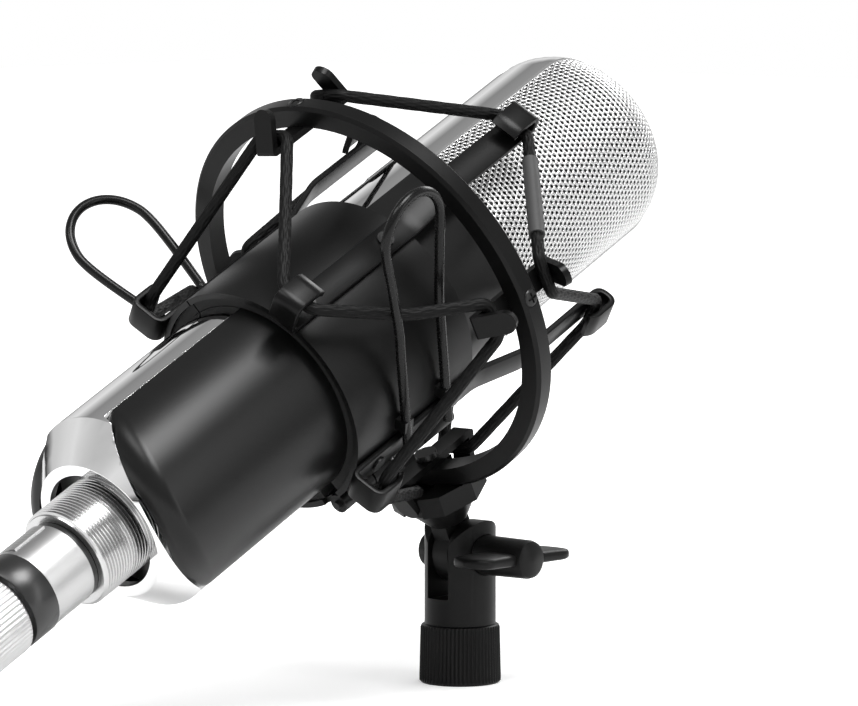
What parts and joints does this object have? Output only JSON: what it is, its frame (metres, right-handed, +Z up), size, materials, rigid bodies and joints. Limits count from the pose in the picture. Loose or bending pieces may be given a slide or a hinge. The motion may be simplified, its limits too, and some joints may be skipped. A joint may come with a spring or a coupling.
{
  "type": "condenser microphone",
  "caption": "Large-diaphragm studio microphone held by a spring cradle and elastic cord in a ring on a tilting stand adapter, with a cable plug fitted.",
  "frame": {"origin": "centre of the mouth of the stand thread", "axes": "+Z up along the stand, +X along the swivel bolt towards the wing nut, +Y towards the grille"},
  "size_m": [0.1157, 0.2369, 0.1478],
  "materials": {
    "mount_plastic": "satin black moulded plastic",
    "ring_black": "satin black paint",
    "strap_black": "satin black paint",
    "jaw_black": "satin black",
    "liner_rubber": "matt",
    "elastic": "braided cord",
    "sleeve": "satin shrink sleeve",
    "wire_black": "satin coated wire",
    "black_fastener": "black oxide",
    "steel": "satin",
    "brass": "satin",
    "chrome": "polished",
    "grille_metal": "satin plated",
    "shell_black": "satin black paint",
    "foam": "open-cell foam",
    "board": "solder mask",
    "component": "moulded",
    "inner_plastic": "matt",
    "diaphragm": "gold film",
    "collar_metal": "turned",
    "plug_satin": "satin nickel",
    "plug_black": "satin"
  },
  "bodies": {
    "stand_nut": {"stand_nut": "mount_plastic"},
    "clevis": {"swivel_clevis": "mount_plastic", "retaining_screw": "black_fastener", "swivel_bolt": "black_fastener", "friction_washers": "steel"},
    "ring_mount": {"ring_stem": "mount_plastic", "stem_screw": "black_fastener", "outer_ring": "ring_black", "bracket_bottom": "strap_black", "bracket_right": "strap_black", "bracket_top": "strap_black", "bracket_left": "strap_black", "bracket_screws": "black_fastener", "elastic_front_fixed": "elastic", "elastic_front_moving": "elastic", "elastic_back_fixed": "elastic", "elastic_back_moving": "elastic", "cord_sleeve": "sleeve", "rear_jaw": "jaw_black", "arm_upper_left": "strap_black", "arm_lower_left": "strap_black", "rear_jaw_rivets": "black_fastener", "rear_jaw_liner": "liner_rubber", "left_handle": "wire_black", "hinge_pin": "black_fastener", "hinge_spring": "steel"},
    "wing_nut": {"wing_nut": "mount_plastic", "wing_nut_insert": "brass"},
    "front_jaw": {"front_jaw": "jaw_black", "arm_lower_right": "strap_black", "arm_upper_right": "strap_black", "front_jaw_rivets": "black_fastener", "front_jaw_liner": "liner_rubber", "right_handle": "wire_black"},
    "microphone": {"chrome_frame": "chrome", "front_shell": "shell_black", "rear_shell": "shell_black", "front_grille": "grille_metal", "rear_grille": "grille_metal", "foam_lining": "foam", "chassis_rails": "steel", "chassis_decks": "steel", "circuit_board": "board", "board_components": "component", "capsule_saddle": "inner_plastic", "capsule_backplate": "brass", "capsule_diaphragms": "diaphragm", "capsule_ring": "inner_plastic", "thread_collar": "collar_metal", "xlr_insert": "inner_plastic", "xlr_pins": "steel"},
    "plug": {"plug_seal": "plug_black", "plug_barrel": "plug_satin", "plug_insert": "inner_plastic", "plug_contacts": "brass", "plug_band": "plug_black"},
    "latch": {"plug_latch": "plug_satin"},
    "plug_collar": {"plug_collar": "plug_satin", "plug_tail": "plug_satin", "cable_bush": "plug_black"}
  },
  "joints": [
    {"name": "pan", "type": "hinge", "parent": "stand_nut", "child": "clevis", "pos_m": [0, 0, 0.014], "axis": [0, 0, 1], "continuous": true},
    {"name": "tilt", "type": "hinge", "parent": "clevis", "child": "ring_mount", "pos_m": [0, 0, 0.031], "axis": [1, 0, 0], "range_deg": [-80, 60]},
    {"name": "wing_nut_turn", "type": "hinge", "parent": "clevis", "child": "wing_nut", "pos_m": [0.0077, 0, 0.031], "axis": [1, 0, 0], "continuous": true},
    {"name": "jaw_open", "type": "hinge", "parent": "ring_mount", "child": "front_jaw", "pos_m": [0.01255, -0.03703, 0.05725], "axis": [0, 0.8957, 0.4446], "range_deg": [0, 8], "stiffness_Nm_per_rad": 2.5, "springref_deg": -14.32, "deforming": ["elastic_front_moving", "elastic_back_moving", "cord_sleeve", "hinge_spring"]},
    {"name": "microphone_turn", "type": "hinge", "parent": "ring_mount", "child": "microphone", "pos_m": [0, -0.02975, 0.09092], "axis": [0, 0.8957, 0.4446], "continuous": true},
    {"name": "plug_pull", "type": "slide", "parent": "microphone", "child": "plug", "axis": [0, -0.8957, -0.4446], "range_m": [0, 0.02]},
    {"name": "latch_press", "type": "slide", "parent": "plug", "child": "latch", "axis": [0.3256, 0.4204, -0.8469], "range_m": [0, 0.0008], "stiffness_N_per_m": 900, "springref_m": -0.001},
    {"name": "plug_collar_turn", "type": "hinge", "parent": "plug", "child": "plug_collar", "pos_m": [0, -0.15515, 0.02867], "axis": [0, 0.8957, 0.4446], "continuous": true}
  ]
}
